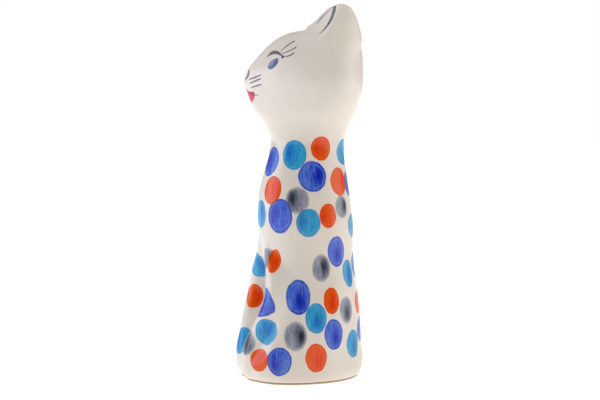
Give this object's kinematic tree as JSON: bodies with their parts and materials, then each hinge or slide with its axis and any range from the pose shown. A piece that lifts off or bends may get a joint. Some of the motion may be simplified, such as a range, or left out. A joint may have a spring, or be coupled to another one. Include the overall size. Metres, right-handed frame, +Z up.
{
  "type": "seated cat figurine",
  "caption": "Tall seated cat figurine in hollow glazed stoneware, with raised head, pointed ears, forelegs in relief, and stamped round spots.",
  "frame": {"origin": "centre of the figurine's outline, on the surface it stands on", "axes": "+Z up from foot to ears, -Y the way the chest and forelegs face, +X the cat's left flank"},
  "size_m": [0.0524, 0.0619, 0.18],
  "materials": {
    "glazed_stoneware": "glossy cream glaze with stamped and brushed colours under it",
    "bare_stoneware": "matt, wiped clean of glaze"
  },
  "bodies": {
    "root": {"torso_shell": "glazed_stoneware", "head_shell": "glazed_stoneware", "left_ear": "glazed_stoneware", "right_ear": "glazed_stoneware", "left_foreleg": "glazed_stoneware", "right_foreleg": "glazed_stoneware", "base_floor": "bare_stoneware", "foot_ring": "bare_stoneware"}
  },
  "joints": []
}
